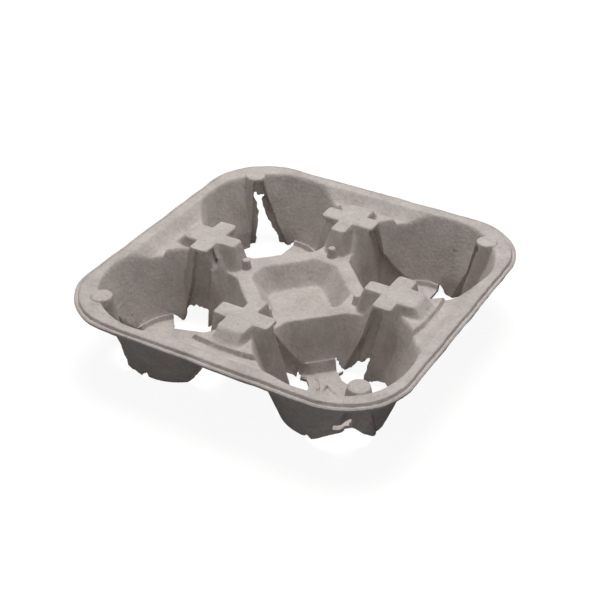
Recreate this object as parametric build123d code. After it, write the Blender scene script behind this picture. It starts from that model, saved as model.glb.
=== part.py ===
from build123d import *
from math import asin, atan, atan2, cos, degrees, hypot, radians, sin, sqrt, tan
import os

# A carrier for four cups, moulded in one piece from paper pulp. The whole object is one sheet of
# even thickness, so it is built as the space under its moulded face less the same space set back
# by the thickness of the sheet. Z = 0 is the surface that the carrier stands on, and the origin
# is under its middle. Lengths are in millimetres and drafts in degrees from the vertical.

# Sheet and outline
wall = 2.0
rim_height = 47.3
rim_width = 8.5
corner_radius = 42.0
lip_width = 2.2
lip_drop = 2.6
rim_edge_chamfer = 0.8

# Cup pockets, one in each quarter
pocket_pitch = 105.0
mouth_radius = 47.0
mouth_edge_chamfer = 1.6
pocket_draft = 19.8
inner_panel_inset = 8.25
inner_panel_draft = 18.0

# Middle deck, its recess and its four nubs
deck_height = 35.3
deck_band = 6.2
recess_depth = 14.0
recess_inset = 10.5
recess_corner_radius = 3.0
nub_radius = 2.8
nub_top_radius = 2.2
nub_rise = 6.0
nub_clearance = 3.3

# Posts between neighbouring pockets, with a cross for a top
post_rise = 3.5
post_set_out = 10.2
arm_tip_inset = 11.0
side_arm_half = 5.8
side_arm_draft = 11.5
side_arm_end_draft = 6.2
inner_arm_reach = 18.0
inner_arm_half = 4.8
inner_arm_draft = 8.0
inner_arm_end_draft = 18.5
outer_arm_half = 7.6
outer_arm_reach = 16.5
outer_face_draft = 33.0
arm_corner_chamfer = 2.6
arm_root_chamfer = 1.8

# Ledge and trough between each post and the rim
ledge_drop = 3.0
ledge_width = 3.2
ledge_radius = 135.0
ledge_face_draft = 20.0
trough_drop = 6.0
trough_rise_width = 8.0
trough_inset = 1.5

# Rib in each corner of the tray
rib_inset = 2.0
rib_top_radius = 6.3
rib_rise = 0.8
rib_draft = 11.2

# Slots that cut each pocket wall into three panels
slot_top_half = 3.2
post_slot_foot_half = 7.5
corner_slot_foot_half = 13.5
slot_cover = 0.6
slot_depth = 4.5
web_set_back = 3.2
post_web_foot = 19.0

# Cup floor, a plate with three arms that join the foot of each panel
floor_height = 2.8
floor_inset = 3.5
dish_ledge = 1.1
outer_foot_height = 5.8
inner_foot_height = 9.6
foot_overlap = 0.8
inner_arm_half_width = 9.0
corner_chord = 12.5
corner_chord_half = 9.0
post_chord = 17.0
post_chord_half = 10.0
outer_arm_corner_angle = 18.0
outer_arm_post_angle = 32.0
tip_width = 1.5

# Values that follow from the ones above
pocket_offset = pocket_pitch / 2
side = 2 * (pocket_offset + mouth_radius + rim_width)
post_height = rim_height + post_rise
post_distance = pocket_offset + post_set_out
arm_tip_radius = mouth_radius - arm_tip_inset
side_arm_reach = pocket_offset - sqrt(arm_tip_radius**2 - post_set_out**2)
slot_bearing = degrees(atan2(side_arm_reach - pocket_offset, post_set_out))
outer_arm_end = post_distance + outer_arm_reach
rib_distance = pocket_offset + (mouth_radius - rib_inset) / sqrt(2)
rib_height = rim_height + rib_rise
rib_tip_radius = mouth_radius - rib_inset - rib_top_radius
inner_panel_distance = pocket_offset * sqrt(2) - mouth_radius + inner_panel_inset
inner_arm_foot = post_distance - inner_arm_reach - (post_height - deck_height) * tan(radians(inner_arm_end_draft))
nub_distance = inner_arm_foot + nub_clearance - nub_radius - nub_top_radius / 2
recess_height = deck_height - recess_depth
ledge_height = rim_height - ledge_drop
trough_height = rim_height - trough_drop
trough_rise_end = pocket_offset + mouth_radius - trough_inset
trough_end = trough_rise_end - trough_rise_width
dish_height = outer_foot_height + foot_overlap
inner_dish_height = inner_foot_height + foot_overlap
tops = rim_height + 10.0
below = 1.0
corner_bearing = 45.0
outer_middle = (slot_bearing + corner_bearing) / 2


def turned_four_times(shape):
    """The same shape in each quarter of the tray."""
    return [Rot(0, 0, 90 * quarter) * shape for quarter in range(4)]


def pocket_radius(height):
    """Inside radius of a pocket wall at a height."""
    return mouth_radius - (rim_height - height) * tan(radians(pocket_draft))


def sideways(set_back, draft):
    """How far a drafted wall moves sideways when the face is set back."""
    return set_back / cos(radians(draft))


def upright(points, half_length):
    """A profile of (distance, height) points, standing along X and drawn out both ways along Y."""
    face = Plane.XZ * make_face(Polyline(*points, close=True))
    return extrude(face, half_length, both=True)


def set_out(points, set_back):
    """The same profile with every side moved out by set_back."""
    face = make_face(Polyline(*points, close=True))
    if set_back:
        face = offset(face, set_back, kind=Kind.INTERSECTION)
    return face


def block(set_back):
    """The whole tray as a rounded block, with the outer lip stepped down from the rim."""
    spare = below if set_back else 0.0
    outer = RectangleRounded(side + 2 * spare, side + 2 * spare, corner_radius + spare)
    lower = Pos(0, 0, -spare) * extrude(outer, rim_height - lip_drop - set_back + spare)
    inset = lip_width + set_back
    inner = RectangleRounded(side - 2 * inset, side - 2 * inset, corner_radius - inset)
    upper = Pos(0, 0, -spare) * extrude(inner, rim_height - set_back + spare)
    if not set_back:
        upper = chamfer(upper.faces().sort_by(Axis.Z)[-1].edges(), rim_edge_chamfer)
    return lower + upper


def pocket_void(set_back):
    """The space for a cup: a cone with a broken mouth edge, cut flat on the side of the middle deck."""
    mouth = [
        (-mouth_radius, -below),
        (pocket_radius(-below), -below),
        (mouth_radius, rim_height),
        (mouth_radius + 9.0, rim_height),
        (mouth_radius + 9.0, tops),
        (-mouth_radius, tops),
    ]
    profile = set_out(mouth, set_back)
    if not set_back:
        corner = profile.vertices().sort_by_distance((mouth_radius, rim_height))[0]
        profile = chamfer(corner, mouth_edge_chamfer)
    half = Pos(mouth_radius * 1.5, rim_height / 2) * Rectangle(3 * mouth_radius, 3 * rim_height)
    cone = revolve(Plane.XZ * (profile & half), Axis.Z)
    slope = tan(radians(inner_panel_draft))
    low = inner_panel_distance + (deck_height + below + set_back) * slope
    high = inner_panel_distance - (tops - deck_height) * slope
    shift = sideways(set_back, inner_panel_draft)
    far = side
    flat = upright(
        [(low - shift, -below - set_back), (far, -below - set_back), (far, tops), (high - shift, tops)],
        mouth_radius + 12.0,
    )
    placed = Pos(pocket_offset, pocket_offset) * cone
    return placed & (Rot(0, 0, corner_bearing) * flat)


def deck_space(set_back):
    """The open space over the middle deck, between the posts."""
    width = 2 * post_distance
    return extrude(Pos(0, 0, deck_height - set_back) * Rectangle(width, width), tops)


def trough_space(set_back):
    """The open space over the trough between a post and the rim."""
    profile = set_out(
        [
            (post_distance, trough_height),
            (trough_end, trough_height),
            (trough_rise_end, rim_height),
            (trough_rise_end, tops),
            (post_distance, tops),
        ],
        set_back,
    )
    return extrude(Plane.XZ * profile, trough_rise_end - pocket_offset, both=True)


def ledge(set_back):
    """The curved ledge across the foot of a post's outer face."""
    rise = tan(radians(ledge_face_draft)) * ledge_height
    start = outer_face_foot()
    outline = [
        (post_distance, 0.0),
        (post_distance, ledge_height),
        (start + ledge_width, ledge_height),
        (start + ledge_width + rise, 0.0),
    ]
    centre = start + ledge_width - ledge_radius
    profile = set_out([(x - centre, z) for x, z in outline], -set_back)
    turn = degrees(asin((trough_rise_end - pocket_offset) / ledge_radius))
    ring = revolve(Plane.XZ * profile, Axis.Z, 2 * turn)
    return Pos(centre, 0) * Rot(0, 0, -turn) * ring


def outer_face_foot():
    """Where the outer face of a post meets its ledge."""
    return outer_arm_end + (post_height - ledge_height) * tan(radians(outer_face_draft))


def cross(depth, set_back):
    """The cross of a post at a depth under its top, as a face round the post's own middle."""
    side_half = side_arm_half + depth * tan(radians(side_arm_draft)) - sideways(set_back, side_arm_draft)
    side_end = (
        side_arm_reach + depth * tan(radians(side_arm_end_draft)) - sideways(set_back, side_arm_end_draft)
    )
    in_half = inner_arm_half + depth * tan(radians(inner_arm_draft)) - sideways(set_back, inner_arm_draft)
    in_end = (
        inner_arm_reach + depth * tan(radians(inner_arm_end_draft)) - sideways(set_back, inner_arm_end_draft)
    )
    out_half = outer_arm_half + depth * tan(radians(inner_arm_draft)) - sideways(set_back, inner_arm_draft)
    out_end = outer_arm_reach + ledge_width + 6.0
    right = [
        (out_end, out_half),
        (side_half, out_half),
        (side_half, side_end),
        (-side_half, side_end),
        (-side_half, in_half),
        (-in_end, in_half),
    ]
    left = [(x, -y) for x, y in reversed(right)]
    face = make_face(Polyline(*right, *left, close=True))
    if set_back:
        return face
    roots = [(side_half, out_half), (-side_half, in_half)]
    tips = [(side_half, side_end), (-side_half, side_end), (-in_end, in_half)]
    for corners, length in ((roots, arm_root_chamfer), (tips, arm_corner_chamfer)):
        for x, y in corners:
            for mirrored in (y, -y):
                corner = face.vertices().sort_by_distance((x, mirrored))[0]
                face = chamfer(corner, length)
    return face


def post(set_back):
    """A hollow post with a cross for a top and a sloping outer face."""
    top = Pos(0, 0, post_height - set_back) * cross(set_back, set_back)
    foot = Pos(0, 0, -below if set_back else 0.0) * cross(
        post_height + (below if set_back else 0.0), set_back
    )
    body = Pos(post_distance, 0) * loft([foot, top], ruled=True)
    slope = tan(radians(outer_face_draft))
    far = outer_face_foot() + outer_arm_reach
    over = set_out(
        [
            (outer_face_foot(), ledge_height),
            (far, ledge_height),
            (far, tops),
            (outer_arm_end - (tops - post_height) * slope, tops),
        ],
        set_back,
    )
    return body - extrude(Plane.XZ * over, side_arm_reach + outer_arm_half, both=True)


def rib(set_back):
    """The half-round rib that stands in a corner, with a flat disc for a top, kept inside the outline."""
    spare = below if set_back else 0.0
    height = rib_height - set_back + spare
    top = rib_top_radius + set_back * tan(radians(rib_draft)) - sideways(set_back, rib_draft)
    foot = top + height * tan(radians(rib_draft))
    cone = Cone(foot, top, height, align=(Align.CENTER, Align.CENTER, Align.MIN))
    outline = RectangleRounded(side + 2 * spare, side + 2 * spare, corner_radius + spare)
    return Pos(0, 0, -spare) * (Pos(rib_distance, rib_distance) * cone & extrude(outline, tops))


def nub():
    """A small round nub on the deck at the foot of a post, thick enough to be solid."""
    cone = Cone(nub_radius, nub_top_radius, nub_rise + wall, align=(Align.CENTER, Align.CENTER, Align.MIN))
    return Pos(nub_distance, 0, deck_height - wall) * cone


def recess_space(set_back):
    """The square recess in the deck, turned so that its corners point at the posts."""
    reach = nub_distance - nub_radius - nub_clearance
    half = (inner_panel_distance - deck_band) * sqrt(2) - reach
    spread = sideways(set_back, inner_panel_draft)

    def eight_sided(inset, height):
        long = reach - inset + spread
        short = max(half - inset * (sqrt(2) - 1) + spread * (sqrt(2) - 1), wall)
        points = [Vector(x, y).rotate(Axis.Z, 90 * q) for q in range(4) for x, y in ((long, short), (short, long))]
        face = make_face(Polyline(*points, close=True))
        if not set_back:
            face = fillet(face.vertices(), recess_corner_radius)
        return Pos(0, 0, height) * face

    floor = eight_sided(recess_inset, recess_height - set_back)
    opening = eight_sided(0.0, deck_height)
    return loft([floor, opening], ruled=True)


def form(set_back):
    """Everything under the moulded face, with the face set back by set_back."""
    solid = block(set_back) - deck_space(set_back)
    solid -= turned_four_times(trough_space(set_back))
    solid += turned_four_times(ledge(set_back))
    solid -= turned_four_times(pocket_void(set_back))
    solid += turned_four_times(post(set_back))
    solid += turned_four_times(rib(set_back))
    if not set_back:
        solid += turned_four_times(nub())
    return solid - recess_space(set_back)


def in_pocket(shape, bearing):
    """Turns a shape that lies along X round the middle of the first pocket."""
    return Pos(pocket_offset, pocket_offset) * Rot(0, 0, bearing) * shape


def slot(top, foot_half, start, end):
    """A slot that widens downwards, cut through a pocket wall between two radii."""
    outline = make_face(
        Polyline(
            (-slot_top_half, top),
            (slot_top_half, top),
            (foot_half, -below),
            (-foot_half, -below),
            close=True,
        )
    )
    return Pos(start, 0) * extrude(Plane.YZ * outline, end - start)


def panel_foot(ahead, behind, height):
    """The space under a raised panel foot: (half-width at its top, half-width at the table) each way."""
    outline = make_face(
        Polyline((-behind[1], -below), (-behind[0], height), (ahead[0], height), (ahead[1], -below), close=True)
    )
    return Pos(floor_height, 0) * extrude(Plane.YZ * outline, mouth_radius)


def panel_feet():
    """The spaces under the three panels of a pocket, which leave a pointed tip beside each slot."""
    foot_radius = pocket_radius(floor_height)

    def across(angle):
        return foot_radius * sin(radians(angle))

    def slot_edge(foot_half, from_middle):
        return across(from_middle - degrees(asin((foot_half + tip_width) / foot_radius)))

    half_turn = outer_middle - slot_bearing
    corner_side = (across(outer_arm_corner_angle), slot_edge(corner_slot_foot_half, half_turn))
    post_side = (across(outer_arm_post_angle), slot_edge(post_slot_foot_half, half_turn))
    inner_half_turn = slot_bearing - corner_bearing + 180.0
    inner_side = (inner_arm_half_width, slot_edge(post_slot_foot_half, inner_half_turn))
    return [
        in_pocket(panel_foot(corner_side, post_side, outer_foot_height), outer_middle),
        in_pocket(panel_foot(post_side, corner_side, outer_foot_height), 90.0 - outer_middle),
        in_pocket(panel_foot(inner_side, inner_side, inner_foot_height), corner_bearing + 180.0),
    ]


def floor_plate():
    """The cup floor with its three arms, and the low dish wall that joins each to a panel."""
    under = floor_height - wall
    dish = [
        (0.0, under),
        (pocket_radius(under) + wall / 2, under),
        (pocket_radius(dish_height) + wall / 2, dish_height),
        (pocket_radius(dish_height) - dish_ledge, dish_height),
        (pocket_radius(floor_height) - floor_inset, floor_height),
        (0.0, floor_height),
    ]
    plate = revolve(Plane.XZ * make_face(Polyline(*dish, close=True)), Axis.Z)
    reach = pocket_radius(dish_height) + wall

    def at(radius, bearing):
        return (radius * cos(radians(bearing)), radius * sin(radians(bearing)))

    def on_chord(distance, half, bearing):
        return at(hypot(distance, half), bearing + degrees(atan(half / distance)))

    inner_turn = degrees(asin(inner_arm_half_width / reach))
    right = [
        on_chord(corner_chord, -corner_chord_half, corner_bearing),
        at(reach, outer_middle + outer_arm_corner_angle),
        at(reach * 1.12, outer_middle),
        at(reach, outer_middle - outer_arm_post_angle),
        on_chord(post_chord, post_chord_half, slot_bearing),
        on_chord(post_chord, -post_chord_half, slot_bearing),
        at(reach, corner_bearing - 180.0 + inner_turn),
    ]
    left = [(y, x) for x, y in reversed(right)]
    arms = extrude(make_face(Polyline(*right, *left, close=True)), dish_height + 1.0)
    slope = tan(radians(inner_panel_draft))
    flat_radius = pocket_offset * sqrt(2) - inner_panel_distance - (deck_height - floor_height) * slope
    keep = Pos(side / 2 - flat_radius, 0) * Box(side, side, 4 * dish_height)
    plate = (plate & arms) & (Rot(0, 0, corner_bearing) * keep)
    lean = (inner_dish_height - under) * slope
    inside, outside = flat_radius - wall / 2, flat_radius + wall * 3 / 4
    step = upright(
        [
            (inside, under),
            (outside, under),
            (outside + lean, inner_dish_height),
            (inside - dish_ledge + lean, inner_dish_height),
            (inside - dish_ledge, floor_height),
        ],
        inner_arm_half_width - wall / 4,
    )
    plate += Rot(0, 0, corner_bearing - 180.0) * step
    return Pos(pocket_offset, pocket_offset) * plate


def post_web():
    """The rough webs that close the upper part of a post's two slots, a little behind its panels."""
    top = post_height - wall / 2
    spread = tan(radians(side_arm_draft))
    high = side_arm_half + (post_height - top) * spread - wall / 2
    low = side_arm_half + (post_height - post_web_foot) * spread - wall / 2
    foot = post_web_foot
    outline = make_face(Polyline((-high, top), (high, top), (low, foot), (-low, foot), close=True))
    webs = extrude(Plane.XZ * outline, side_arm_reach - web_set_back, both=True)
    webs -= extrude(Plane.XZ * outline, side_arm_reach - web_set_back - wall, both=True)
    return Pos(post_distance, 0) * webs


def carrier():
    """The finished sheet."""
    sheet = form(0.0) - form(wall)
    post_top = post_height - wall - slot_cover
    rib_top = rib_height - wall - slot_cover
    cuts = []
    plates = []
    for quarter in range(4):
        turn = Rot(0, 0, 90 * quarter)
        corner_slot = slot(rib_top, corner_slot_foot_half, post_chord, rib_tip_radius + slot_depth)
        cuts.append(turn * in_pocket(corner_slot, corner_bearing))
        for bearing in (slot_bearing, 90.0 - slot_bearing):
            post_slot = slot(post_top, post_slot_foot_half, post_chord, arm_tip_radius + slot_depth)
            cuts.append(turn * in_pocket(post_slot, bearing))
        cuts += [turn * foot for foot in panel_feet()]
        plates.append(turn * floor_plate())
        plates.append(turn * post_web())
    sheet -= cuts
    sheet += plates
    return sheet


os.makedirs("parts", exist_ok=True)
result = carrier()
export_step(result, "parts/carrier.step")
print("solids", len(result.solids()), "volume cm3", round(result.volume / 1000, 1))
print("box", result.bounding_box())
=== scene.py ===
import math
import bpy
import numpy as np
from mathutils import Matrix, Vector


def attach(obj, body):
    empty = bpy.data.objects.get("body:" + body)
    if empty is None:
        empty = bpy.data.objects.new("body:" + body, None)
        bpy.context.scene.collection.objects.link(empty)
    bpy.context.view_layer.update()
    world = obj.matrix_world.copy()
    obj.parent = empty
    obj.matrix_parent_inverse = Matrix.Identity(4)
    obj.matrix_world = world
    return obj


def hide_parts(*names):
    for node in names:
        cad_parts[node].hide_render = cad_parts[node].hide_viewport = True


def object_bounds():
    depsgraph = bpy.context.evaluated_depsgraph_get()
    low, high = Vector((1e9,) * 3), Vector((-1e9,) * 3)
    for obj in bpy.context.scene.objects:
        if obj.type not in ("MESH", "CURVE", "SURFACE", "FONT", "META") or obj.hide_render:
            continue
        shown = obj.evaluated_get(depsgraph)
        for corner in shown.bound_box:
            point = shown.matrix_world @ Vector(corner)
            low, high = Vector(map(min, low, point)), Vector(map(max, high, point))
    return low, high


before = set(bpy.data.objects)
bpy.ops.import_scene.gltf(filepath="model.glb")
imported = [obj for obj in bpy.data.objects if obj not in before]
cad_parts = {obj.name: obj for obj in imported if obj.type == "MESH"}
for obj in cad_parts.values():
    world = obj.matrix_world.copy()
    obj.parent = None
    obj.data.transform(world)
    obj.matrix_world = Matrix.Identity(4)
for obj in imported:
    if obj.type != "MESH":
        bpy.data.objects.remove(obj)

# A moulded-pulp carrier for four drinks cups, seen from above its front corner.
# Shapes are worked out in millimetres, with z = 0 on the table, and put into meshes in metres.
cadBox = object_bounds()
mm = 0.001
boxLow = np.array(cadBox[0]) / mm
boxHigh = np.array(cadBox[1]) / mm

# All lengths are in millimetres and all angles in degrees, unless a comment says otherwise.
sheet = {
    "thickness": 2.0,           # of the pulp
    "side": 216.0,              # of the square outline
    "cornerRadius": 42.0,
    "rimTop": 47.3,
    "lipWidth": 2.3,            # thin outer lip below the rim
    "lipDrop": 1.5,             # how far below it on the two front sides
    "lipBack": 0.7,             # and on the two back sides
    "groove": 0.8,              # depth of the narrow groove between rim and lip
    "outerEdge": 0.7,           # height over which the lip's outer edge falls away
    "gridLines": 600,           # each way, before the mesh is thinned
    "triangles": 190000,        # after it is thinned
    "waviness": 0.22,           # of a surface that dried unevenly
    "ripple": 0.1,              # and of the finer waves on it
}

pocket = {
    "offset": 52.5,             # of its middle from the middle of the carrier, each way
    "mouthRadius": 47.0,
    "draft": 19.8,
    "facetDistance": 35.5,      # of the flat inner panel from the carrier's middle, at deck height
    "facetDraft": 18.0,
    "floorTop": 2.8,
    "shelf": 0.9,               # ledge at the foot of a panel
    "dishSlope": 3.2,           # rise over run of the low wall from that ledge to the floor
    "tipHeight": 0.75,          # of the free tips beside the slots
    "outerEdge": 6.3,           # height of the outer panels' feet
    "innerEdge": 10.3,          # height of the inner panel's foot
    "postChord": 17.3,          # where the floor ends towards a post
    "bulge": 4.0,               # how far the front pocket's mouth is drawn out to its corner
    "bulgeWidth": 22.0,
}

post = {
    "distance": 62.7,
    "top": 50.8,
    "start": -3.0,              # where the inner and outer arms begin, past the middle
    "sideReach": 18.0,
    "sideHalf": 6.0,
    "sideSlope": 4.1,           # rise over run of a drafted side
    "tipSlope": 7.8,
    "innerReach": 18.0,
    "innerHalf": 4.9,
    "innerSlope": 3.1,
    "outerReach": 16.0,
    "outerHalf": 8.6,
    "outerSlope": 1.1,
    "cornerRadius": 2.2,
    "armBlend": 4.5,            # height over which two arms run together
    "edge": 1.7,                # height over which the top edge is rounded
    "footBlend": 2.4,
}

deck = {
    "top": 35.3,
    "floor": 21.3,
    "bandDistance": 27.6,       # of the recess's long edges from the middle
    "bow": 1.3,                 # how far they bow in, over the middle bowHalf each way
    "bowHalf": 18.0,
    "reach": 31.0,
    "wallSlope": 1.55,          # rise over run
    "nubDistance": 38.6,
    "nubRadius": 2.3,
    "nubSlope": 7.0,
    "nubTop": 41.2,
}

saddle = {
    "start": 66.0,              # distance from the middle where the ledge begins
    "ledgeTop": 44.3,
    "ledgeEdge": 86.3,
    "ledgeRadius": 135.0,
    "trough": 41.3,
    "troughEnd": 90.0,
    "riseEnd": 98.3,
}

rib = {
    "distance": 84.3,
    "top": 48.1,
    "radius": 6.3,
    "slope": 5.05,              # rise over run
}

# Heights over which edges and inner corners are rounded.
rounding = {
    "panels": 2.5,              # between a pocket's cone and its flat panel
    "mouth": 3.0,
    "mouthAtDeck": 1.6,
    "recessEdge": 1.4,
    "recessCorners": 2.6,
    "recessFloor": 1.8,
    "trough": 0.8,
    "ribTop": 1.2,
    "ribFoot": 1.6,
    "nubTop": 1.6,
    "nubFoot": 1.0,
    "dish": 1.2,
}

# The outside of a panel's foot: its face stands one thickness behind the moulded one, which is drop lower
# and away further out.
feet = {
    "drop": 0.68,
    "away": 1.88,
    "end": 0.45,                # height at which the closed face ends
    "leave": 1.4,               # distance over which it turns into the under side of the floor
    "lip": 0.3,                 # step from the panel to the ledge at its foot
    "lipRun": 0.25,
    "tipTurn": 32.0,            # angle from the corner where the foot begins to rise
    "tipEase": 10.0,
}

slot = {
    "postTop": 48.6,
    "cornerTop": 45.6,
    "sharpness": 1.2,           # how fast a slot closes towards its top
    "depth": 4.0,               # how far the rough web lies behind the panels
    "border": 0.6,              # width of the step down to it
    "postChordHalf": 11.0,
    "cornerChordHalf": 9.5,
    "flare": 2.2,               # how far the tips beside a corner slot turn out
}

# No two slots are cut alike. Each list is for the quarters (+x +y), (-x +y), (+x -y), (-x -y). A post slot's
# borders are distances from the carrier's middle, a corner slot's are distances from the diagonal.
postSlots = {
    "x": {
        "innerTop": [55.5, 55.5, 57.7, 53.5], "innerFoot": [48.0, 48.0, 41.5, 53.0],
        "outerTop": [65.0, 65.0, 64.3, 63.9], "outerFoot": [67.0, 67.0, 56.0, 69.6],
        "webInner": [10.0, 10.0, 1.5, 9.5], "webOuter": [10.0, 10.0, 17.5, 9.5],
        "outerRise": [92.0, 92.0, 100.0, 90.0], "outerTip": [105.0, 105.0, 124.0, 104.0],
        "innerTip": [135.0, 135.0, 152.0, 135.0], "innerRise": [163.0, 163.0, 161.0, 163.0],
    },
    "y": {
        "innerTop": [56.0, 55.5, 56.0, 55.5], "innerFoot": [61.0, 48.0, 34.0, 48.0],
        "outerTop": [65.0, 65.0, 62.2, 65.0], "outerFoot": [81.5, 67.0, 51.4, 76.0],
        "webInner": [1.0, 10.0, -5.0, 12.0], "webOuter": [1.0, 10.0, 16.5, 26.0],
        "outerRise": [72.0, 92.0, 100.0, 78.0], "outerTip": [85.0, 105.0, 132.0, 91.0],
        "innerTip": [118.0, 135.0, 158.0, 135.0], "innerRise": [150.0, 163.0, 163.0, 163.0],
    },
}
cornerSlots = {
    "lowTop": [-2.6, -2.8, -3.2, -3.2], "lowFoot": [3.0, -7.3, -14.0, -24.0],
    "highTop": [3.6, 3.6, 3.2, 0.5], "highFoot": [12.0, 16.3, 24.5, 11.0],
    "webFoot": [32.5, 36.0, 13.8, 22.0],          # height where the web ends
    "arched": [False, False, True, False],        # whether it ends in a clean arch
    "arch": [0.0, 0.0, 13.0, 0.0],                # how much lower it ends at its borders
    "strip": [2.2, 4.4, 0.0, 1.5],                # width of the torn strips below that
    "depth": [4.0, 4.0, 2.5, 1.2],                # how far the web lies behind the panels
    "floorEnd": [12.5, 12.5, 23.0, 12.5],         # where the floor ends towards the slot
}
archWindow = {"middle": 5.9, "half": 5.6, "low": 16.2, "high": 20.8}     # small opening above the arch

# Fine lines pressed into two of the floors: (x, y) along each, and how deep and wide they are.
floorLines = [
    [(33.7, -39.3), (38.3, -45.5), (41.8, -52.9)],
    [(45.2, -52.6), (42.1, -44.5), (41.9, -42.2), (54.5, -48.8)],
    [(-54.3, 60.4), (-49.9, 62.2), (-44.9, 68.8)],
]
lineDepth = 1.1
lineHalf = 1.2

# Quarter in which the pocket nearest to the camera lies, and a depth that stands for no hole at all.
frontQuarter = 2
noHole = -9.0


# Rounded minimum: the lower of a and b, less k h (1 - h) where they lie within k of each other.
def roundMin(a, b, k):
    h = np.clip(0.5 + 0.5 * (b - a) / k, 0.0, 1.0)
    return b + (a - b) * h - k * h * (1.0 - h)


# Rounded maximum, the same rule turned over.
def roundMax(a, b, k):
    return -roundMin(-a, -b, k)


# Smooth step: 3 s^2 - 2 s^3 for s from 0 at low to 1 at high.
def easeBetween(low, high, value):
    s = np.clip((value - low) / (high - low), 0.0, 1.0)
    return s * s * (3.0 - 2.0 * s)


# Value noise: random numbers on a square lattice of the given size, eased between its corners.
def latticeNoise(x, y, size, seed):
    table = np.random.default_rng(seed).uniform(-1.0, 1.0, (256, 256))
    gx, gy = x / size + 100.0, y / size + 100.0
    ix, iy = np.floor(gx).astype(int), np.floor(gy).astype(int)
    sx, sy = easeBetween(0.0, 1.0, gx - ix), easeBetween(0.0, 1.0, gy - iy)
    a, b = table[ix % 256, iy % 256], table[(ix + 1) % 256, iy % 256]
    c, d = table[ix % 256, (iy + 1) % 256], table[(ix + 1) % 256, (iy + 1) % 256]
    return (a * (1 - sx) + b * sx) * (1 - sy) + (c * (1 - sx) + d * sx) * sy


# Torn edge: three noises, each about half the size and half the height of the one before.
def tornNoise(x, y, size, seed):
    total = latticeNoise(x, y, size, seed)
    total = total + 0.55 * latticeNoise(x, y, size * 0.45, seed + 1)
    return total + 0.35 * latticeNoise(x, y, size * 0.2, seed + 2)


# Distance outside a rounded rectangle: |max(|p| - half + r, 0)| - r, and negative inside.
def outsideRounded(px, py, halfX, halfY, radius):
    qx, qy = np.abs(px) - halfX + radius, np.abs(py) - halfY + radius
    return np.hypot(np.maximum(qx, 0), np.maximum(qy, 0)) + np.minimum(np.maximum(qx, qy), 0) - radius


# Rim: level, then down to the outer lip, by distance d inside the outline. The lip hangs lower on the front
# sides, drop being how far, and a narrow groove parts the two all round.
def rimHeight(d, drop):
    step = drop * easeBetween(-sheet["lipWidth"] - 0.5, -sheet["lipWidth"] + 0.4, d)
    groove = sheet["groove"] * easeBetween(0.8, 0.1, np.abs(d + sheet["lipWidth"] + 0.1))
    crown = 0.012 * (d + 5.0) ** 2 * (d > -9.0)
    edge = sheet["outerEdge"] * easeBetween(-0.9, 0.0, d)
    return sheet["rimTop"] - step - groove - edge - np.minimum(crown, 0.3) * (d < -2.0)


# Ledge and trough: level at the ledge, down to the trough past an arc, then up to the rim, and all of it
# eased into the level rim beside the pocket mouths.
def saddleHeight(a, t, rimZ):
    edge = saddle["ledgeEdge"] - t * t / (2.0 * saddle["ledgeRadius"])
    down = easeBetween(edge - 0.2, edge + 1.1, a)
    z = saddle["ledgeTop"] + (saddle["trough"] - saddle["ledgeTop"]) * down
    up = np.clip((a - saddle["troughEnd"]) / (saddle["riseEnd"] - saddle["troughEnd"]), 0.0, 1.0)
    z = z + (sheet["rimTop"] - saddle["trough"]) * up ** 1.25
    z = np.where(a > saddle["start"], z, saddle["ledgeTop"])
    z = deck["top"] + (z - deck["top"]) * easeBetween(56.0, 68.0, a)
    z = np.where(a > saddle["riseEnd"], rimZ, roundMin(z, rimZ, rounding["trough"]))
    return z + (rimZ - z) * easeBetween(44.0, 50.0, np.abs(t)) * (a > saddle["start"])


# One drafted arm: top height less the distance outside its rectangle times the slope of the nearer side.
def armHeight(along, across, start, reach, half, endSlope):
    r = min(post["cornerRadius"], half)
    qa = np.abs(along - (start + reach) / 2.0) - (reach - start) / 2.0 + r
    qc = np.abs(across) - half + r
    away = np.hypot(np.maximum(qa, 0.0), np.maximum(qc, 0.0)) + np.minimum(np.maximum(qa, qc), 0.0) - r
    endWay, sideWay = np.maximum(qa, 0.0) ** 2, np.maximum(qc, 0.0) ** 2
    share = endWay / (endWay + sideWay + 1e-6)
    return post["top"] - away * (post["sideSlope"] + (endSlope - post["sideSlope"]) * share)


# A post: its four arms joined by rounded maxima, then cut level at the top by a rounded minimum.
def postHeight(a, t):
    da = a - post["distance"]
    side = armHeight(t, da, -post["sideReach"], post["sideReach"], post["sideHalf"], post["tipSlope"])
    inner = armHeight(-da, t, post["start"], post["innerReach"], post["innerHalf"], post["innerSlope"])
    outer = armHeight(da, t, post["start"], post["outerReach"], post["outerHalf"], post["outerSlope"])
    joined = roundMax(roundMax(side, inner, post["armBlend"]), outer, post["armBlend"])
    return roundMin(joined, post["top"], post["edge"])


# The recess in the deck: eight sloping sides, the long ones bowed in a little, and a level floor.
def recessHeight(x, y):
    along = (np.abs(x) + np.abs(y)) / math.sqrt(2.0)
    across = (np.abs(x) - np.abs(y)) / math.sqrt(2.0)
    bow = deck["bow"] * np.clip(1.0 - (across / deck["bowHalf"]) ** 2, 0.0, 1.0)
    long = along - deck["bandDistance"] + bow
    short = np.maximum(np.abs(x), np.abs(y)) - deck["reach"]
    away = roundMax(long, short, rounding["recessCorners"])
    return roundMax(deck["top"] + away * deck["wallSlope"], deck["floor"], rounding["recessFloor"])


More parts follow.
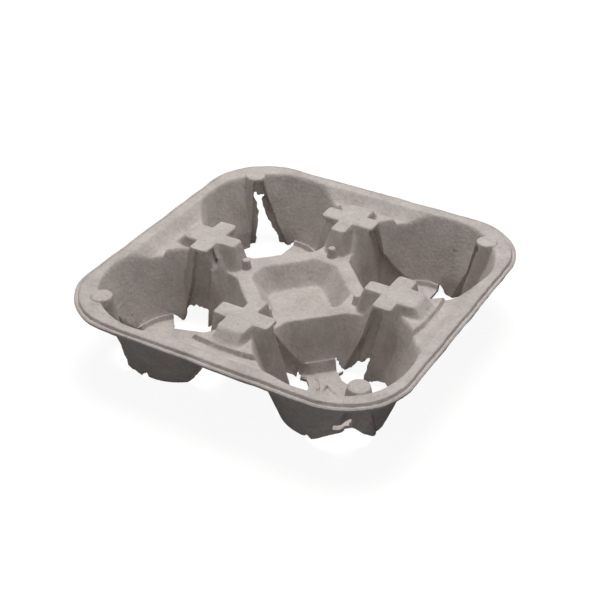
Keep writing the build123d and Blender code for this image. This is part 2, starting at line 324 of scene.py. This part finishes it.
# How deep the fine lines are at (x, y): full depth within a small distance of a line's nearest point.
def lineEngraving(x, y):
    total = 0.0
    for line in floorLines:
        for (x0, y0), (x1, y1) in zip(line[:-1], line[1:]):
            share = ((x - x0) * (x1 - x0) + (y - y0) * (y1 - y0)) / ((x1 - x0) ** 2 + (y1 - y0) ** 2)
            share = np.clip(share, 0, 1)
            away = np.hypot(x - x0 - share * (x1 - x0), y - y0 - share * (y1 - y0))
            total = total + lineDepth * easeBetween(lineHalf, 0.2, away)
    return total


# All that the sheet needs at points (x, y): the moulded face's height, how far each point lies into a hole,
# how far it is shifted sideways, whether it is torn, and where the closed outside of the feet stands.
def sheetFields(x, y):
    ax, ay = np.abs(x), np.abs(y)
    a, t = np.maximum(ax, ay), np.where(ax > ay, y, x)
    outline = outsideRounded(x, y, sheet["side"] / 2, sheet["side"] / 2, sheet["cornerRadius"])
    front = easeBetween(-30.0, 30.0, x - y)
    lipDrop = sheet["lipBack"] + (sheet["lipDrop"] - sheet["lipBack"]) * front
    base = saddleHeight(a, t, rimHeight(outline, lipDrop))
    quarter = (x < 0).astype(int) + 2 * (y < 0).astype(int)

    # pocket wall: the cone 1/tan(draft) steep, or the flat inner panel where that is higher
    u, v = ax - pocket["offset"], ay - pocket["offset"]
    r = np.hypot(u, v)
    toCorner, toSide = (u + v) / math.sqrt(2.0), (v - u) / math.sqrt(2.0)
    bulge = pocket["bulge"] * np.exp(-(toSide / pocket["bulgeWidth"]) ** 2) * easeBetween(36.0, 46.0, r)
    bulge = bulge * (toCorner > 0) * (quarter == frontQuarter)
    coneSlope = 1.0 / math.tan(math.radians(pocket["draft"]))
    cone = sheet["rimTop"] - (pocket["mouthRadius"] + bulge - r) * coneSlope
    facetSlope = 1.0 / math.tan(math.radians(pocket["facetDraft"]))
    fromMiddle = pocket["offset"] * math.sqrt(2.0) + toCorner
    facet = deck["top"] - (fromMiddle - pocket["facetDistance"]) * facetSlope
    hollow = roundMax(cone, facet, rounding["panels"])
    wall = roundMin(base, hollow, np.where(base < 40.0, rounding["mouthAtDeck"], rounding["mouth"]))
    wall = np.where(a < 45.0, roundMin(wall, recessHeight(x, y), rounding["recessEdge"]), wall)

    # posts, corner ribs and the nubs on the deck
    posts = np.maximum(postHeight(ax, y), postHeight(ay, x))
    wall = roundMax(wall, posts, post["footBlend"])
    fromRib = np.hypot(ax - rib["distance"], ay - rib["distance"])
    ribs = roundMin(rib["top"] - (fromRib - rib["radius"]) * rib["slope"], rib["top"], rounding["ribTop"])
    wall = roundMax(wall, ribs, rounding["ribFoot"])
    fromNub = np.minimum(np.hypot(ax - deck["nubDistance"], ay), np.hypot(ax, ay - deck["nubDistance"]))
    nubs = deck["nubTop"] - (fromNub - deck["nubRadius"]) * deck["nubSlope"]
    wall = roundMax(wall, roundMin(nubs, deck["nubTop"], rounding["nubTop"]), rounding["nubFoot"])

    # A value of the post slot on this side of the diagonal: from the y list where toSide is above 0, else x.
    def ofSlot(name):
        onX, onY = np.array(postSlots["x"][name])[quarter], np.array(postSlots["y"][name])[quarter]
        return np.where(toSide > 0, onY, onX)

    # the foot of the panels, by the angle from the corner slot: a tip beside each slot, higher between them
    turn = np.abs(np.degrees(np.arctan2(toSide, toCorner)))
    outerRise, outerTip, innerTip = ofSlot("outerRise"), ofSlot("outerTip"), ofSlot("innerTip")
    outerShare = np.clip((turn - feet["tipTurn"]) / feet["tipEase"], 0, 1)
    outerShare = outerShare * np.clip((outerTip - turn) / (outerTip - outerRise), 0, 1)
    innerShare = np.clip((turn - innerTip) / (ofSlot("innerRise") - innerTip), 0, 1)
    foot = pocket["tipHeight"] + (pocket["outerEdge"] - pocket["tipHeight"]) * outerShare
    foot = foot + (pocket["innerEdge"] - pocket["tipHeight"]) * innerShare

    # below the foot, into being the distance from it: the ledge, the dish wall and the floor with its lines
    inPocket = (a < 100.0) & (fromMiddle > pocket["facetDistance"] - 2.0)
    into = np.where(inPocket, (foot - wall) / coneSlope, -5.0)
    ledge = foot - feet["lip"]
    dish = np.minimum(ledge, ledge - (into - pocket["shelf"]) * pocket["dishSlope"])
    dish = roundMax(dish, pocket["floorTop"], rounding["dish"])
    onLip = wall + (dish - wall) * into / feet["lipRun"]
    height = np.where(into > 0.0, np.where(into > feet["lipRun"], dish, onLip), wall)
    height = height - lineEngraving(x, y) * (into > 4.0)

    # behind the dish the panel's outer face runs on down to the table: its offset and its height
    run = pocket["shelf"] + (foot - pocket["floorTop"]) / pocket["dishSlope"]
    share = np.clip(into / run, 0, 1)
    footZ = (foot - feet["drop"]) + (feet["end"] - foot + feet["drop"]) * share
    outward = into - (foot - feet["drop"] - footZ) / coneSlope + feet["away"]
    leave = easeBetween(0.0, feet["leave"], into - run)
    footOut = outward * (1.0 - leave)
    footZ = footZ + (pocket["floorTop"] - sheet["thickness"] - footZ) * leave
    onFacet = facet > cone
    wayX = np.where(onFacet, -math.sqrt(0.5), u / (r + 1e-6))
    wayY = np.where(onFacet, -math.sqrt(0.5), v / (r + 1e-6))

    # the gap in the floor towards the corner, then the two towards the posts
    floorEnd = np.array(cornerSlots["floorEnd"])[quarter]
    chordHalf = slot["cornerChordHalf"] + 1.067 * (toCorner - floorEnd)
    gap = np.minimum(toCorner - floorEnd, chordHalf - np.abs(toSide))
    gaps = np.minimum(gap, into)
    shiftX, shiftY, torn = np.zeros_like(x), np.zeros_like(x), np.zeros_like(x)
    slotHoles = np.full_like(x, noHole)

    # post slots: straight borders, a rough web set back between them, and a torn lower end
    bearing = math.atan2(post["sideReach"] - pocket["offset"], post["distance"] - pocket["offset"])
    depthShare = np.clip(1.0 - wall / sheet["rimTop"], -0.1, 1.0)
    for side, angle, axis in ((-1.0, bearing, "x"), (1.0, math.pi / 2 - bearing, "y")):
        cosA, sinA = math.cos(angle), math.sin(angle)
        out = u * cosA + v * sinA
        inward = side * (v * cosA - u * sinA)
        half = slot["postChordHalf"] + np.where(inward > 0, 2.04, 0.356) * (out - pocket["postChord"])
        gap = np.minimum(out - pocket["postChord"], half - np.abs(inward))
        gaps = np.maximum(gaps, np.minimum(gap, into))
        lines = {name: np.array(values)[quarter] for name, values in postSlots[axis].items()}
        along = ax if axis == "x" else ay
        inner = lines["innerTop"] + (lines["innerFoot"] - lines["innerTop"]) * depthShare
        outer = lines["outerTop"] + (lines["outerFoot"] - lines["outerTop"]) * depthShare
        rag = 0.5 * tornNoise(wall, along * 0.2 + 7.0 * quarter, 3.0, 19)
        inSlot = np.minimum(along - inner, outer + rag - along)
        near = inPocket & (out > 20.0) & (out < 42.0)
        inSlot = np.minimum(inSlot, (slot["postTop"] - wall) * slot["sharpness"])
        mask = easeBetween(0.0, slot["border"], inSlot) * near
        shiftX = shiftX + mask * cosA
        shiftY = shiftY + mask * sinA
        between = np.clip((along - inner) / (outer - inner), 0, 1)
        webFoot = lines["webInner"] + (lines["webOuter"] - lines["webInner"]) * between
        webFoot = webFoot + 1.5 * tornNoise(along, wall * 0.4 + 9.0 * quarter, 3.0, 11)
        opened = np.minimum(inSlot - 0.3 - 0.8 * (1.0 - between), (webFoot - wall) / 3.0)
        slotHoles = np.maximum(slotHoles, np.where(near, opened, noHole))
        torn = np.maximum(torn, mask)

    # corner slots: the same, with torn strips beside the opening, or a clean arch with a window over it
    pick = {name: np.array(values)[quarter] for name, values in cornerSlots.items()}
    low = pick["lowTop"] + (pick["lowFoot"] - pick["lowTop"]) * depthShare
    high = pick["highTop"] + (pick["highFoot"] - pick["highTop"]) * depthShare
    inSlot = np.minimum(toSide - low, high - toSide)
    inSlot = np.minimum(inSlot, (slot["cornerTop"] - wall) * slot["sharpness"])
    near = inPocket & (toCorner > 20.0) & (toCorner < 46.0)
    mask = easeBetween(0.0, slot["border"], inSlot) * near
    shiftX = shiftX + mask * math.sqrt(0.5) * pick["depth"] / slot["depth"]
    shiftY = shiftY + mask * math.sqrt(0.5) * pick["depth"] / slot["depth"]
    torn = np.maximum(torn, mask)
    between = 2.0 * (toSide - low) / (high - low) - 1.0
    webFoot = pick["webFoot"] - pick["arch"] * between ** 2
    ragged = 1.1 * tornNoise(toSide + 17.0 * quarter, wall, 4.0, 31)
    strip = pick["strip"] * easeBetween(webFoot + 2.0, webFoot - 8.0, wall)
    strip = np.where(pick["arched"], 0.3 + ragged, strip)
    calm = np.where(pick["arched"], 0.05, 1.0)
    opened = np.minimum(inSlot - strip + ragged, (webFoot - wall) / 2.5 + calm * ragged)
    window = np.minimum(archWindow["half"] - np.abs(toSide - archWindow["middle"]), wall - archWindow["low"])
    window = np.minimum(window, archWindow["high"] - wall)
    opened = np.where(pick["arched"], np.maximum(opened, window), opened)
    slotHoles = np.maximum(slotHoles, np.where(near, opened, noHole))

    # the free tips beside a corner slot turn out a little
    flare = slot["flare"] * easeBetween(14.0, 0.0, wall) * easeBetween(52.0, 30.0, turn)
    flare = flare * inPocket * (into < 0.5)
    return {
        "height": height,
        "hole": np.maximum(np.maximum(gaps, slotHoles), outline),
        "shiftX": (shiftX * slot["depth"] + flare * wayX) * np.sign(x),
        "shiftY": (shiftY * slot["depth"] + flare * wayY) * np.sign(y),
        "torn": torn,
        "footOn": (into > 0.0) & (into < run + feet["leave"]) & (foot > pocket["tipHeight"] + 0.5),
        "footX": footOut * wayX * np.sign(x),
        "footY": footOut * wayY * np.sign(y),
        "footZ": footZ,
    }


# Grid lines, closer together where walls are steepest: the running sum of a density, turned round.
def gridLines(count):
    reach = sheet["side"] / 2 + 0.6
    fine = np.linspace(-reach, reach, 20001)
    away = np.abs(fine)
    density = 1.0 + 1.5 * np.exp(-((away - 20.5) / 3.6) ** 2) + 0.5 * np.exp(-((away - 105.0) / 3.0) ** 2)
    total = np.concatenate([[0.0], np.cumsum((density[1:] + density[:-1]) / 2)])
    return np.interp(np.linspace(0.0, total[-1], count), total, fine)


# Cells that hang on to the rim: a flood from one rim cell, one step each way at a time.
def joinedTo(kept, start):
    reached = np.zeros_like(kept)
    reached[start] = True
    count = 0
    while True:
        for _ in range(24):
            grown = reached.copy()
            grown[1:] |= reached[:-1]
            grown[:-1] |= reached[1:]
            grown[:, 1:] |= reached[:, :-1]
            grown[:, :-1] |= reached[:, 1:]
            reached = grown & kept
        if reached.sum() == count:
            return reached
        count = reached.sum()


# Blur by the mean of each value and its four neighbours, several times over.
def blur(values, times):
    for _ in range(times):
        padded = np.pad(values, ((1, 1), (1, 1), (0, 0)), mode="edge")
        middle = padded[1:-1, 1:-1]
        values = (middle + padded[2:, 1:-1] + padded[:-2, 1:-1] + padded[1:-1, 2:] + padded[1:-1, :-2]) / 5
    return values


# Cells of the grid that are sheet: those whose corners lie outside every hole on average and that hang on to
# the rim, with one cell filled in wherever two would touch by a corner only.
def keptCells(hole, lines):
    kept = (hole[1:, 1:] + hole[:-1, 1:] + hole[1:, :-1] + hole[:-1, :-1]) < 0.0
    kept[0], kept[-1], kept[:, 0], kept[:, -1] = False, False, False, False
    start = (np.searchsorted(lines, -104.0), np.searchsorted(lines, 0.0))
    kept = joinedTo(kept, start)
    for _ in range(3):
        a, b, c, d = kept[:-1, :-1], kept[1:, :-1], kept[:-1, 1:], kept[1:, 1:]
        touching = (a & d & ~b & ~c) | (b & c & ~a & ~d)
        kept[:-1, :-1] |= touching
        kept[1:, :-1] |= touching
        kept[:-1, 1:] |= touching
        kept[1:, 1:] |= touching
    return kept


# Points on an edge slide onto the line where the hole begins: each of Newton's steps is the depth into the
# hole over its slope, and none goes further than the limit from home.
def slideOntoEdge(homeX, homeY):
    step, limit = 0.04, 0.3
    ex, ey = homeX.copy(), homeY.copy()
    for _ in range(5):
        here = sheetFields(ex, ey)["hole"]
        slopeX = (sheetFields(ex + step, ey)["hole"] - here) / step
        slopeY = (sheetFields(ex, ey + step)["hole"] - here) / step
        steep = np.maximum(slopeX ** 2 + slopeY ** 2, 0.2)
        ex = homeX + np.clip(ex - here * slopeX / steep - homeX, -limit, limit)
        ey = homeY + np.clip(ey - here * slopeY / steep - homeY, -limit, limit)
    return ex, ey


# Both faces of the sheet on one grid: the moulded face z(x, y), and the rough face one thickness behind it
# along the blurred normal, with quads along every edge between them.
def makeSheet():
    lines = gridLines(sheet["gridLines"])
    x, y = np.meshgrid(lines, lines, indexing="ij")
    kept = keptCells(sheetFields(x, y)["hole"], lines)
    count = np.zeros(x.shape, int)
    for di in (0, 1):
        for dj in (0, 1):
            count[di:di + kept.shape[0], dj:dj + kept.shape[1]] += kept
    edge = (count > 0) & (count < 4)
    x[edge], y[edge] = slideOntoEdge(x[edge], y[edge])
    print("sheet grid", x.shape, "cells kept", int(kept.sum()))

    # the two faces
    fields = sheetFields(x, y)
    z = fields["height"]
    z = z + sheet["waviness"] * latticeNoise(x, y, 11.0, 5) + sheet["ripple"] * latticeNoise(x, y, 3.7, 6)
    top = np.stack([x + fields["shiftX"], y + fields["shiftY"], z], axis=-1)
    top[..., 0] += sheet["waviness"] * latticeNoise(y, z, 9.0, 7)
    top[..., 1] += sheet["waviness"] * latticeNoise(x, z, 9.0, 8)
    along, across = np.gradient(top, axis=0), np.gradient(top, axis=1)
    normal = np.cross(along, across)
    normal /= np.linalg.norm(normal, axis=-1, keepdims=True)
    normal = blur(normal, 4)
    under = top - sheet["thickness"] * normal
    closed = np.stack([x + fields["footX"], y + fields["footY"], fields["footZ"]], axis=-1)
    under = np.where(fields["footOn"][..., None], closed, under)
    low, high = boxLow + 0.02, boxHigh - 0.02
    top, under = np.clip(top, low, high), np.clip(under, low, high)

    # number the vertices in use, moulded face first
    used = count > 0
    number = np.full(x.shape, -1)
    number[used] = np.arange(used.sum())
    points = np.concatenate([top[used], under[used]]) * mm
    second = int(used.sum())
    i, j = np.nonzero(kept)
    face = np.stack([number[i, j], number[i + 1, j], number[i + 1, j + 1], number[i, j + 1]], axis=1)
    cellTorn = (fields["torn"][i, j] + fields["torn"][i + 1, j + 1]) > 1.2
    back = face[:, ::-1] + second

    # quads between the faces, wherever a kept cell meets one that isn't
    walls = []
    for axis in (0, 1):
        grid = np.pad(kept, 1)
        if axis == 0:
            before, after = grid[:-1, 1:-1], grid[1:, 1:-1]
        else:
            before, after = grid[1:-1, :-1], grid[1:-1, 1:]
        for first, turned in ((after & ~before, False), (before & ~after, True)):
            p, q = np.nonzero(first)
            if axis == 0:
                ends = number[p, q], number[p, q + 1]
                turned = not turned
            else:
                ends = number[p, q], number[p + 1, q]
            s, e = (ends[1], ends[0]) if turned else ends
            walls.append(np.stack([e, s, s + second, e + second], axis=1))
    walls = np.concatenate(walls)
    faces = np.concatenate([face, back, walls])
    kinds = np.concatenate([np.where(cellTorn, 1, 0), np.ones(len(back), int), np.ones(len(walls), int)])
    return points, faces, kinds


# A mesh from arrays of points, quads and material numbers.
def meshFrom(name, points, faces, kinds):
    mesh = bpy.data.meshes.new(name)
    mesh.vertices.add(len(points))
    mesh.vertices.foreach_set("co", points.astype(np.float32).ravel())
    mesh.loops.add(faces.size)
    mesh.loops.foreach_set("vertex_index", faces.astype(np.int32).ravel())
    mesh.polygons.add(len(faces))
    mesh.polygons.foreach_set("loop_start", np.arange(0, faces.size, 4, dtype=np.int32))
    mesh.polygons.foreach_set("loop_total", np.full(len(faces), 4, dtype=np.int32))
    mesh.polygons.foreach_set("material_index", kinds.astype(np.int32))
    mesh.update(calc_edges=True)
    mesh.validate()
    return mesh


# sRGB hex to linear: c / 12.92 below 0.04045, else ((c + 0.055) / 1.055) ^ 2.4.
def linearColour(text):
    values = [int(text[k:k + 2], 16) / 255.0 for k in (1, 3, 5)]
    return tuple(c / 12.92 if c <= 0.04045 else ((c + 0.055) / 1.055) ** 2.4 for c in values) + (1.0,)


# Adds a node, sets its inputs and properties, and links what is given as a socket. An input is given by its
# name with _ for each space, or by n and its number.
def addNode(tree, kind, settings=None, **inputs):
    node = tree.nodes.new(kind)
    for name, value in (settings or {}).items():
        setattr(node, name, value)
    for name, value in inputs.items():
        numbered = name[0] == "n" and name[1:].isdigit()
        socket = node.inputs[int(name[1:]) if numbered else name.replace("_", " ")]
        if isinstance(value, bpy.types.NodeSocket):
            tree.links.new(value, socket)
        else:
            socket.default_value = value
    return node


# A maths node: the operation on two values or sockets.
def addMath(tree, operation, first, second):
    return addNode(tree, "ShaderNodeMath", {"operation": operation}, n0=first, n1=second).outputs[0]


# A noise node whose pattern has the given size in millimetres.
def addNoise(tree, place, sizeMm, detail, roughness):
    scale = 1000.0 / sizeMm
    noise = addNode(tree, "ShaderNodeTexNoise", Vector=place, Scale=scale, Detail=detail, Roughness=roughness)
    return noise.outputs["Fac"]


# Moulded paper pulp: recycled fibres drawn onto a wire screen by suction and dried, so it is dead matt, a
# little mottled, and lumpy at the size of a fibre flock. The screen side is darker and much rougher.
def pulpMaterial(name, look):
    material = bpy.data.materials.new(name)
    material.use_nodes = True
    tree = material.node_tree
    tree.nodes.clear()
    place = addNode(tree, "ShaderNodeTexCoord").outputs["Object"]
    cloud = addNoise(tree, place, look["cloudMm"], 3.0, 0.6)
    flock = addNoise(tree, place, look["flockMm"], 4.0, 0.65)
    fibre = addNoise(tree, place, look["fibreMm"], 3.0, 0.7)
    speck = addNode(tree, "ShaderNodeTexVoronoi", Vector=place, Scale=1000.0 / look["speckMm"])

    # colour: dark to light with the mottling, and towards the speck's colour in the pits
    tone = addNode(
        tree, "ShaderNodeMapRange", Value=addMath(tree, "ADD", cloud, flock),
        From_Min=0.72, From_Max=1.28, To_Min=0.0, To_Max=1.0,
    )
    base = addNode(
        tree, "ShaderNodeMix", {"data_type": "RGBA"},
        n0=tone.outputs[0], n6=linearColour(look["dark"]), n7=linearColour(look["light"]),
    )
    pit = addNode(
        tree, "ShaderNodeMapRange", Value=speck.outputs["Distance"],
        From_Min=0.06, From_Max=0.16, To_Min=look["speckDepth"], To_Max=0.0,
    )
    colour = addNode(
        tree, "ShaderNodeMix", {"data_type": "RGBA"},
        n0=pit.outputs[0], n6=base.outputs[2], n7=linearColour(look["speck"]),
    )

    # relief: flocks and a third of the fibres, less the pits
    relief = addMath(tree, "ADD", flock, addMath(tree, "MULTIPLY", fibre, 0.35))
    relief = addMath(tree, "SUBTRACT", relief, pit.outputs[0])
    bump = addNode(tree, "ShaderNodeBump", Height=relief, Strength=look["bump"], Distance=look["bumpMm"] * mm)
    shader = addNode(
        tree, "ShaderNodeBsdfPrincipled",
        Base_Color=colour.outputs[2], Normal=bump.outputs[0], Roughness=0.92, IOR=1.45,
    )
    shader.inputs["Specular IOR Level"].default_value = 0.25
    addNode(tree, "ShaderNodeOutputMaterial", Surface=shader.outputs[0])
    return material


# Colours, pattern sizes in millimetres, and how strongly specks and bumps show, from 0 to 1.
mouldedSide = {
    "light": "#C9C1BC", "dark": "#AFA6A1", "speck": "#8A827C",
    "cloudMm": 14.0, "flockMm": 2.2, "fibreMm": 0.7, "speckMm": 9.0,
    "speckDepth": 0.3, "bump": 0.8, "bumpMm": 0.6,
}
screenSide = {
    "light": "#B9B2A6", "dark": "#8C857A", "speck": "#57524A",
    "cloudMm": 12.0, "flockMm": 1.8, "fibreMm": 0.8, "speckMm": 5.0,
    "speckDepth": 0.7, "bump": 1.0, "bumpMm": 1.3,
}
sharpAngle = 48.0

# The carrier: the sheet's quads, thinned where the surface is nearly flat, with its moulded side first.
points, faces, kinds = makeSheet()
raw = bpy.data.objects.new("pulpSheetRaw", meshFrom("pulpSheetRaw", points, faces, kinds))
bpy.context.scene.collection.objects.link(raw)
thin = raw.modifiers.new("thin", "DECIMATE")
thin.ratio = min(1.0, sheet["triangles"] / (2.0 * len(faces)))
bpy.context.view_layer.update()
thinned = bpy.data.meshes.new_from_object(raw.evaluated_get(bpy.context.evaluated_depsgraph_get()))
bpy.data.objects.remove(raw)
carrier = bpy.data.objects.new("pulpCarrier", thinned)
bpy.context.scene.collection.objects.link(carrier)
carrier.data.shade_smooth()
carrier.data.set_sharp_from_angle(angle=math.radians(sharpAngle))
carrier.data.materials.clear()
carrier.data.materials.append(pulpMaterial("mouldedPulp", mouldedSide))
carrier.data.materials.append(pulpMaterial("mouldedPulpScreenSide", screenSide))
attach(carrier, "root")
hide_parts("carrier")
print("carrier triangles", sum(len(p.vertices) - 2 for p in carrier.data.polygons))

# The camera: azimuth and elevation of the view, and where the camera stands.
camera = {
    "azimuth": 30.13, "elevation": 34.04, "roll": 0.14,
    "place": (318.25, -549.27, 453.3), "lens": 75.44, "sensor": 36.0,
}


# A camera from its azimuth and elevation: its back vector is (sin a cos e, -cos a cos e, sin e).
def makeCamera():
    az, el, roll = (math.radians(camera[name]) for name in ("azimuth", "elevation", "roll"))
    back = Vector((math.sin(az) * math.cos(el), -math.cos(az) * math.cos(el), math.sin(el)))
    right = Vector((0.0, 0.0, 1.0)).cross(back).normalized()
    up = back.cross(right)
    turnedRight = math.cos(roll) * right + math.sin(roll) * up
    turnedUp = math.cos(roll) * up - math.sin(roll) * right
    data = bpy.data.cameras.new("camera")
    data.lens, data.sensor_width, data.clip_start = camera["lens"], camera["sensor"], 0.01
    eye = bpy.data.objects.new("camera", data)
    rows = Matrix((turnedRight, turnedUp, back)).transposed().to_4x4()
    eye.matrix_world = Matrix.Translation(Vector(camera["place"]) * mm) @ rows
    bpy.context.scene.collection.objects.link(eye)
    bpy.context.scene.camera = eye


# A soft square lamp of a size at a place, both in metres, aimed at the carrier, with its power in watts.
def addLamp(name, place, size, power):
    aim = Vector((0.0, 0.0, 0.02))
    data = bpy.data.lights.new(name, "AREA")
    data.shape, data.size, data.energy = "SQUARE", size, power
    lamp = bpy.data.objects.new(name, data)
    lamp.location = place
    lamp.rotation_euler = (aim - Vector(place)).to_track_quat("-Z", "Y").to_euler()
    bpy.context.scene.collection.objects.link(lamp)


makeCamera()
addLamp("softBoxAbove", (-0.12, 0.3, 1.3), 0.7, 17.0)
addLamp("softBoxFront", (0.5, -1.1, 0.9), 0.8, 0.7)
addLamp("softBoxLow", (0.45, -1.2, 0.1), 0.7, 2.2)

# The world: an even pale grey that fills the shadows, plain white to the camera and in reflections.
world = bpy.data.worlds.new("studio")
world.use_nodes = True
bpy.context.scene.world = world
tree = world.node_tree
tree.nodes.clear()
rays = addNode(tree, "ShaderNodeLightPath")
seen = addMath(tree, "MAXIMUM", rays.outputs["Is Camera Ray"], rays.outputs["Is Glossy Ray"])
fill = addNode(tree, "ShaderNodeBackground", Color=linearColour("#FFFFFF"), Strength=0.1)
white = addNode(tree, "ShaderNodeBackground", Color=linearColour("#FFFFFF"), Strength=1.0)
mixed = addNode(tree, "ShaderNodeMixShader", n0=seen, n1=fill.outputs[0], n2=white.outputs[0])
addNode(tree, "ShaderNodeOutputWorld", Surface=mixed.outputs[0])

# The floor: a plain sheet of matt paper that keeps the carrier's soft shadow and looks white to the camera.
reach = 4.0
floorCorners = [(-reach, -reach, 0), (reach, -reach, 0), (reach, reach, 0), (-reach, reach, 0)]
floorMesh = bpy.data.meshes.new("paperFloor")
floorMesh.from_pydata(floorCorners, [], [(0, 1, 2, 3)])
floor = bpy.data.objects.new("paperFloor", floorMesh)
bpy.context.scene.collection.objects.link(floor)
paper = bpy.data.materials.new("palePaper")
paper.use_nodes = True
tree = paper.node_tree
tree.nodes.clear()
rays = addNode(tree, "ShaderNodeLightPath")
matt = addNode(tree, "ShaderNodeBsdfDiffuse", Color=linearColour("#6A6866"))
glow = addNode(tree, "ShaderNodeEmission", Color=linearColour("#FFFFFF"), Strength=0.92)
both = addNode(tree, "ShaderNodeAddShader", n0=matt.outputs[0], n1=glow.outputs[0])
toCamera = rays.outputs["Is Camera Ray"]
mixed = addNode(tree, "ShaderNodeMixShader", n0=toCamera, n1=matt.outputs[0], n2=both.outputs[0])
addNode(tree, "ShaderNodeOutputMaterial", Surface=mixed.outputs[0])
floorMesh.materials.append(paper)

bpy.context.scene.view_settings.view_transform = "Standard"
print("camera, lamps and floor are ready")
